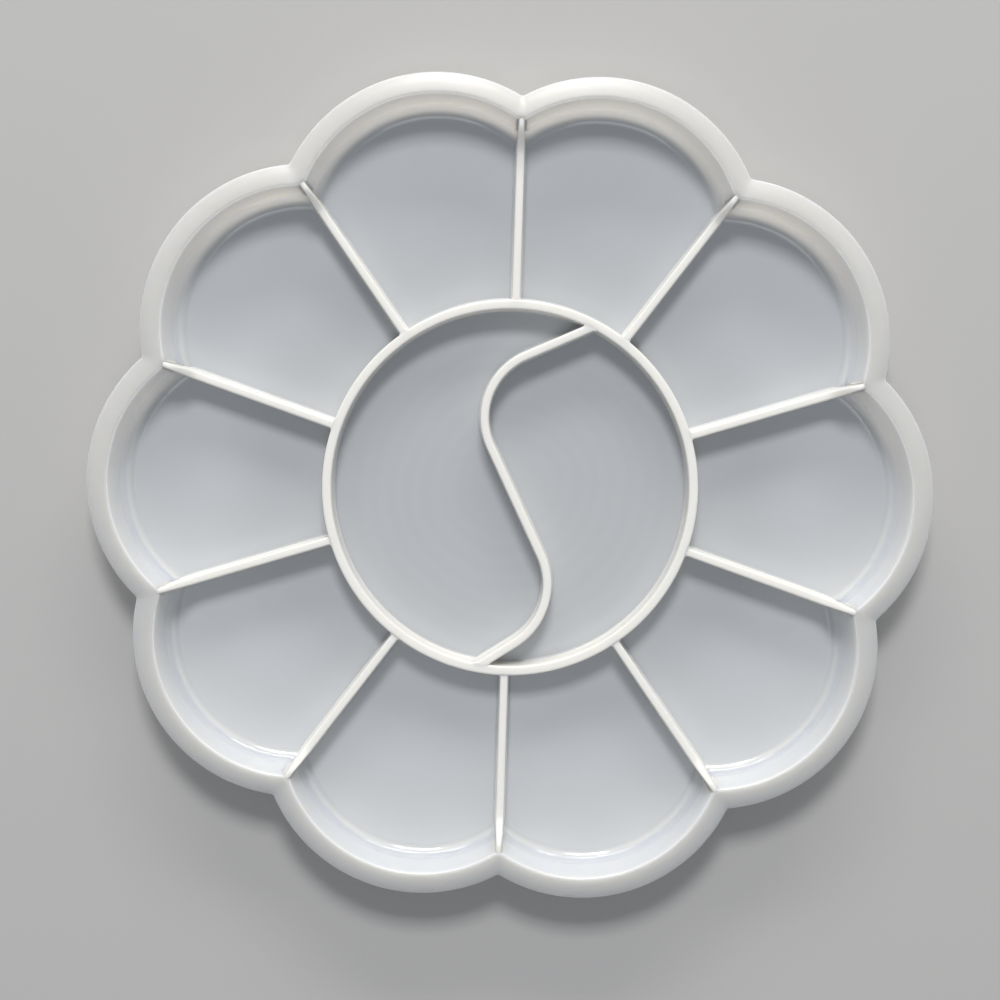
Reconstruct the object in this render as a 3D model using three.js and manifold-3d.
// Flower-shaped mixing palette: ten petal wells round a mixing area that an S-shaped wall splits in two.
// Millimetres, +Z up. The origin is the middle of the underside, and one petal points along +X.
// The real palette is a single thin-walled moulding. Here each of its features is a solid of its own,
// and neighbours meet face to face.
import * as THREE from "three";
import { mergeVertices } from "three/addons/utils/BufferGeometryUtils.js";
import Module from "manifold-3d";

// ---- driving dimensions ----
const PETALS = 10;
const ACROSS_TIPS = 160; // across the circle that touches the petals' tips
const PETAL_CENTRE = 49.2; // palette axis to the centre of each petal's arcs
const FLOOR_R = 22.8; // petal centre to the edge of the flat floor
const LIP_R = ACROSS_TIPS / 2 - PETAL_CENTRE; // petal centre to the outer edge of the lip
const SHELL = 1.2; // thickness of floor and wall

const HALF_PETAL = Math.PI / PETALS; // half the angle a petal takes up about the palette axis
const PETAL_TURN = 2 * HALF_PETAL;

const ARC_STEPS = 40; // facets in a full petal circle
const RING_STEPS = 80;

// ---- solids ----
const wasm = await Module();
wasm.setup();

function solid(geometry) {
  const bare = geometry.clone();
  bare.deleteAttribute("normal");
  bare.deleteAttribute("uv");
  const merged = mergeVertices(bare, 1e-4);
  return new wasm.Manifold(
    new wasm.Mesh({
      numProp: 3,
      vertProperties: new Float32Array(merged.attributes.position.array),
      triVerts: new Uint32Array(merged.index.array),
    }),
  );
}

function geometryOf(made) {
  const mesh = made.getMesh();
  const position = new Float32Array(mesh.vertProperties);
  const geometry = new THREE.BufferGeometry();
  geometry.setAttribute("position", new THREE.BufferAttribute(position, 3));
  geometry.setIndex(new THREE.BufferAttribute(new Uint32Array(mesh.triVerts), 1));
  geometry.computeVertexNormals();
  return geometry;
}

// A closed profile of [radius, height] points turned about +Z.
function turned(profile, steps, phase = 0) {
  const points = profile.map(([r, z]) => new THREE.Vector2(r, z));
  // the faces point outwards only when the profile runs anticlockwise
  if (THREE.ShapeUtils.area(points) < 0) points.reverse();
  const geometry = new THREE.LatheGeometry([...points, points[0]], steps, phase);
  geometry.rotateX(Math.PI / 2);
  return geometry;
}

// Skin over a row of sections with equal numbers of points, closed at both ends.
function skin(sections) {
  const size = sections[0].length;
  const index = [];
  for (let i = 0; i + 1 < sections.length; i++)
    for (let j = 0; j < size; j++) {
      const here = i * size + j;
      const next = i * size + ((j + 1) % size);
      index.push(here, next, here + size, next, next + size, here + size);
    }
  const last = (sections.length - 1) * size;
  for (let j = 1; j + 1 < size; j++)
    index.push(0, j + 1, j, last, last + j, last + j + 1);
  const geometry = new THREE.BufferGeometry();
  geometry.setAttribute("position", new THREE.Float32BufferAttribute(sections.flat(2), 3));
  geometry.setIndex(index);
  return geometry;
}

// ---- petal rim ----
const FILLET_R = 3.0; // inside fillet between floor and wall
const FILLET_STEPS = 5;
const LEAN = THREE.MathUtils.degToRad(8); // outward lean of the petal walls

const CREST_Z = 10.5; // overall height
const CREST_R = 0.5; // rounding of the crest
const CREST_STEPS = 3;

const LIP_EDGE_Z = 9.3; // height of the middle of the lip's outer edge
const LIP_EDGE_R = 0.5; // rounding of the lip's outer edge
const LIP_EDGE_ARC = { from: 1.2, to: -1.92, steps: 4 }; // radians, top to underside
const LIP_TOP = { out: 2.2, down: 0.35, steps: 4 }; // curve's control point, from the crest
const NECK_Z = 8.95; // where the lip's underside meets the outside of the wall
const LIP_UNDER = { out: 1.3, up: 0.1, steps: 3 }; // curve's control point, from the neck

const BACKING = { beyond: 10, above: 1, below: 1 }; // past the lip, crest and underside
const WEDGE = { from: 55, to: 95, low: -2, high: 20 }; // reach along +X, and heights

function arcPoints(centreX, centreY, r, from, to, steps) {
  return Array.from({ length: steps + 1 }, (_, i) => {
    const angle = from + ((to - from) * i) / steps;
    return [centreX + r * Math.cos(angle), centreY + r * Math.sin(angle)];
  });
}

// The points of a quadratic curve between its two ends, without the ends themselves.
function curveBetween(start, control, end, steps) {
  const ends = [start, control, end].map(([x, y]) => new THREE.Vector2(x, y));
  return new THREE.QuadraticBezierCurve(...ends)
    .getPoints(steps)
    .slice(1, -1)
    .map((point) => [point.x, point.y]);
}

// Sections are [distance from the petal's centre, height].
// They run up the inside from the floor, over the crest, out along the lip and down the outside.
function rimSections() {
  const filletZ = SHELL + FILLET_R;
  const inside = arcPoints(FLOOR_R, filletZ, FILLET_R, -Math.PI / 2, -LEAN, FILLET_STEPS);
  const foot = inside.at(-1);
  const crestMidZ = CREST_Z - CREST_R;
  const wallTopZ = crestMidZ + CREST_R * Math.sin(LEAN);
  const wallTop = [foot[0] + (wallTopZ - foot[1]) * Math.tan(LEAN), wallTopZ];
  const crestMidR = wallTop[0] + CREST_R * Math.cos(LEAN);
  const crest = arcPoints(
    crestMidR, crestMidZ, CREST_R, Math.PI - LEAN, Math.PI / 2, CREST_STEPS,
  );
  const face = [...inside, wallTop, ...crest.slice(1)];

  const { from, to, steps } = LIP_EDGE_ARC;
  const edge = arcPoints(LIP_R - LIP_EDGE_R, LIP_EDGE_Z, LIP_EDGE_R, from, to, steps);
  const lipTopControl = [crestMidR + LIP_TOP.out, CREST_Z - LIP_TOP.down];
  const lipTop = curveBetween(crest.at(-1), lipTopControl, edge[0], LIP_TOP.steps);

  const outside = arcPoints(
    FLOOR_R, filletZ, FILLET_R + SHELL, -LEAN, -Math.PI / 2, FILLET_STEPS,
  );
  const neck = [outside[0][0] + (NECK_Z - outside[0][1]) * Math.tan(LEAN), NECK_Z];
  const lipUnderControl = [neck[0] + LIP_UNDER.out, NECK_Z + LIP_UNDER.up];
  const lipUnder = curveBetween(edge.at(-1), lipUnderControl, neck, LIP_UNDER.steps);

  const backR = LIP_R + BACKING.beyond;
  return {
    full: [
      [FLOOR_R, 0],
      ...face,
      ...lipTop,
      ...edge,
      ...lipUnder,
      neck,
      ...outside.slice(0, -1),
    ],
    // the inner face alone, backed by solid out to well past the lip
    backed: [
      [FLOOR_R, -BACKING.below],
      ...face,
      [backR, CREST_Z + BACKING.above],
      [backR, -BACKING.below],
    ],
  };
}

// Wedge along +X that holds one petal: it starts beyond the inner half of the petal's ring.
function wedge(halfAngle) {
  const { from, to, low, high } = WEDGE;
  const slope = Math.tan(halfAngle);
  const shape = new THREE.Shape([
    new THREE.Vector2(from, -from * slope),
    new THREE.Vector2(to, -to * slope),
    new THREE.Vector2(to, to * slope),
    new THREE.Vector2(from, from * slope),
  ]);
  const geometry = new THREE.ExtrudeGeometry(shape, { depth: high - low, bevelEnabled: false });
  geometry.translate(0, 0, low);
  return geometry;
}

// A section turned about the petal's centre and mitred to the neighbouring petals.
function petal(section, halfAngle) {
  const ring = turned(section, ARC_STEPS, Math.PI / 2);
  ring.translate(PETAL_CENTRE, 0, 0);
  return solid(ring).intersect(solid(wedge(halfAngle)));
}

// ---- floor ----
// The floor's edge in the petal along +X, cut off at the mitres.
// Its facets are those of the rim's inner foot.
function petalEdge() {
  const quarter = ARC_STEPS / 4;
  const arc = arcPoints(PETAL_CENTRE, 0, FLOOR_R, -Math.PI / 2, Math.PI / 2, 2 * quarter)
    .map(([x, y]) => new THREE.Vector2(x, y));
  const slope = Math.tan(HALF_PETAL);
  const pastMitre = ({ x, y }) => Math.abs(y) - x * slope; // negative within the petal
  const edge = [];
  for (let i = 0; i + 1 < arc.length; i++) {
    const before = pastMitre(arc[i]);
    const after = pastMitre(arc[i + 1]);
    if (before < 0) edge.push(arc[i]);
    if (before < 0 !== after < 0)
      edge.push(arc[i].clone().lerp(arc[i + 1], before / (before - after)));
  }
  return edge;
}

function floor() {
  const axis = new THREE.Vector2();
  const edge = petalEdge().slice(0, -1); // its last point is the next petal's first
  const outline = [];
  for (let k = 0; k < PETALS; k++)
    for (const point of edge) outline.push(point.clone().rotateAround(axis, PETAL_TURN * k));
  return new THREE.ExtrudeGeometry(new THREE.Shape(outline), {
    depth: SHELL,
    bevelEnabled: false,
  });
}

// ---- walls that stand on the floor ----
const WALL_TAPER = 0.026; // growth of each side's half width per millimetre of depth
const EDGE_R = 0.4; // rounding of the walls' top edges
const EDGE_INSET = 0.29 * EDGE_R; // middle of the rounding, in from the side and the top

// Half section of a wall as [half width, height]: widest at the floor, rounded at the top.
function wallHalf(topW, topZ) {
  return [
    [topW / 2 + WALL_TAPER * (topZ - SHELL), SHELL],
    [topW / 2 + WALL_TAPER * EDGE_R, topZ - EDGE_R],
    [topW / 2 - EDGE_INSET, topZ - EDGE_INSET],
    [topW / 2 - EDGE_R, topZ],
  ];
}

// A wall's full section as [sideways, height] points.
function wallSection(topW, topZ) {
  const half = wallHalf(topW, topZ);
  return [...half, ...half.map(([w, z]) => [-w, z]).reverse()];
}

// ---- ring wall ----
const RING_MID_R = 34.9; // middle of the ring wall
const RING_TOP_W = 1.75;
const RING_TOP_Z = 6.8;

const CUT_LOW_Z = SHELL - 0.5; // underside of the solids that trim walls to the ring
const CUT_HIGH_Z = RING_TOP_Z + 3;
const CUT_OUTER_R = 60;

const ringHalf = wallHalf(RING_TOP_W, RING_TOP_Z);
const ringInner = ringHalf.map(([w, z]) => [RING_MID_R - w, z]); // floor to top
const ringOuter = ringHalf.map(([w, z]) => [RING_MID_R + w, z]);

function ringWall() {
  return turned([...ringInner, ...[...ringOuter].reverse()], RING_STEPS);
}

// Everything inside the ring wall's outer face, to trim the straight dividers' inner ends.
function insideRing() {
  const profile = [
    [0, CUT_LOW_Z],
    [ringOuter[0][0], CUT_LOW_Z],
    ...ringOuter,
    [0, RING_TOP_Z],
  ];
  return solid(turned(profile, RING_STEPS));
}

// Everything outside the ring wall's inner face, to trim the ends of the S.
function outsideRing() {
  const profile = [
    ...ringInner,
    [RING_MID_R, CUT_HIGH_Z],
    [CUT_OUTER_R, CUT_HIGH_Z],
    [CUT_OUTER_R, CUT_LOW_Z],
    [ringInner[0][0], CUT_LOW_Z],
  ];
  return solid(turned(profile, RING_STEPS));
}

// ---- straight dividers ----
const DIVIDER_TOP_W = 1.5;
const DIVIDER_TOP_Z = 6.6;
// [distance from the palette axis, height] along a divider's top:
// level from the ring, then rising to meet the crest of the rim
const DIVIDER_TOP_LINE = [
  [RING_MID_R, DIVIDER_TOP_Z],
  [62.6, DIVIDER_TOP_Z],
  [63.6, 6.75], [64.4, 7.2], [65.2, 8.0], [66.0, 8.85],
  [66.8, 9.6], [67.6, 10.1], [68.4, 10.3], [69.7, 10.2],
];
const TRIM_OVERLAP = 2e-4; // radians by which each trimming petal passes its mitre

// One divider along +X. Its sides keep their slope, so the top narrows as it rises.
function dividerBar() {
  return skin(
    DIVIDER_TOP_LINE.map(([x, topZ]) => {
      const topW = DIVIDER_TOP_W - 2 * WALL_TAPER * (topZ - DIVIDER_TOP_Z);
      return wallSection(topW, topZ).map(([y, z]) => [x, y, z]);
    }),
  );
}

// The divider between the first two petals, its outer end trimmed by both of them.
function divider(backedSection) {
  const trim = petal(backedSection, HALF_PETAL + TRIM_OVERLAP);
  return geometryOf(
    solid(dividerBar())
      .rotate([0, 0, 180 / PETALS])
      .subtract(insideRing())
      .subtract(trim.add(trim.rotate([0, 0, 360 / PETALS]))),
  );
}

// ---- S divider ----
const S_TOP_W = 1.6;
const S_TOP_Z = RING_TOP_Z;
// [x, y] corners of the S: three straights joined by two bends
const S_CORNERS = [[16.04, 31.69], [-9.82, 19.64], [11.51, -23.05], [-6.25, -34.97]];
const S_BENDS = [12.9, 13.3]; // radii of the bends
const S_BEND_STEPS = 14;

// The points of the bend of radius r that rounds a corner.
function bend(previous, corner, next, r) {
  const inDir = corner.clone().sub(previous).normalize();
  const outDir = next.clone().sub(corner).normalize();
  const turn = Math.atan2(inDir.cross(outDir), inDir.dot(outDir));
  const reach = r * Math.tan(Math.abs(turn) / 2);
  const start = corner.clone().addScaledVector(inDir, -reach);
  const left = new THREE.Vector2(-inDir.y, inDir.x);
  const centre = start.clone().addScaledVector(left, Math.sign(turn) * r);
  return Array.from({ length: S_BEND_STEPS + 1 }, (_, i) =>
    start.clone().rotateAround(centre, (turn * i) / S_BEND_STEPS),
  );
}

function sPath() {
  const corners = S_CORNERS.map(([x, y]) => new THREE.Vector2(x, y));
  return [
    corners[0],
    ...S_BENDS.flatMap((r, i) => bend(corners[i], corners[i + 1], corners[i + 2], r)),
    corners.at(-1),
  ];
}

// The wall's section carried along the path and mitred at each point.
function sWall() {
  const path = sPath();
  const section = wallSection(S_TOP_W, S_TOP_Z);
  return skin(
    path.map((point, i) => {
      const before = point.clone().sub(path[Math.max(i - 1, 0)]);
      const after = path[Math.min(i + 1, path.length - 1)].clone().sub(point);
      // each end of the path has a neighbour on one side only
      if (before.lengthSq() === 0) before.copy(after);
      if (after.lengthSq() === 0) after.copy(before);
      after.normalize();
      const along = before.normalize().add(after).normalize();
      const stretch = 1 / along.dot(after);
      return section.map(([w, z]) => [
        point.x - along.y * w * stretch,
        point.y + along.x * w * stretch,
        z,
      ]);
    }),
  );
}

function sDivider() {
  return geometryOf(solid(sWall()).subtract(outsideRing()));
}

// ---- materials ----
const plastic = ({ color, roughness }) =>
  new THREE.MeshStandardMaterial({ color, roughness, metalness: 0 });

const floorPlastic = () => plastic({ color: 0xc9cdd3, roughness: 0.28 });
const rimPlastic = () => plastic({ color: 0xeceae6, roughness: 0.32 });
const wallPlastic = () => plastic({ color: 0xf4f2ec, roughness: 0.3 });

// ---- assembly ----
const group = new THREE.Group();
group.name = "mixing_palette";

function add(name, geometry, material, turn = 0) {
  const mesh = new THREE.Mesh(geometry, material);
  mesh.name = name;
  mesh.rotation.z = turn;
  group.add(mesh);
}

// One copy for each petal, numbered from 01 anticlockwise seen from above.
function addAround(name, geometry, makeMaterial) {
  for (let k = 0; k < PETALS; k++) {
    const number = String(k + 1).padStart(2, "0");
    add(`${name}_${number}`, geometry, makeMaterial(), PETAL_TURN * k);
  }
}

const rim = rimSections();
add("base_floor", floor(), floorPlastic());
addAround("petal_rim", geometryOf(petal(rim.full, HALF_PETAL)), rimPlastic);
add("centre_ring_wall", ringWall(), wallPlastic());
add("s_divider", sDivider(), wallPlastic());
addAround("radial_divider", divider(rim.backed), wallPlastic);

export default group;
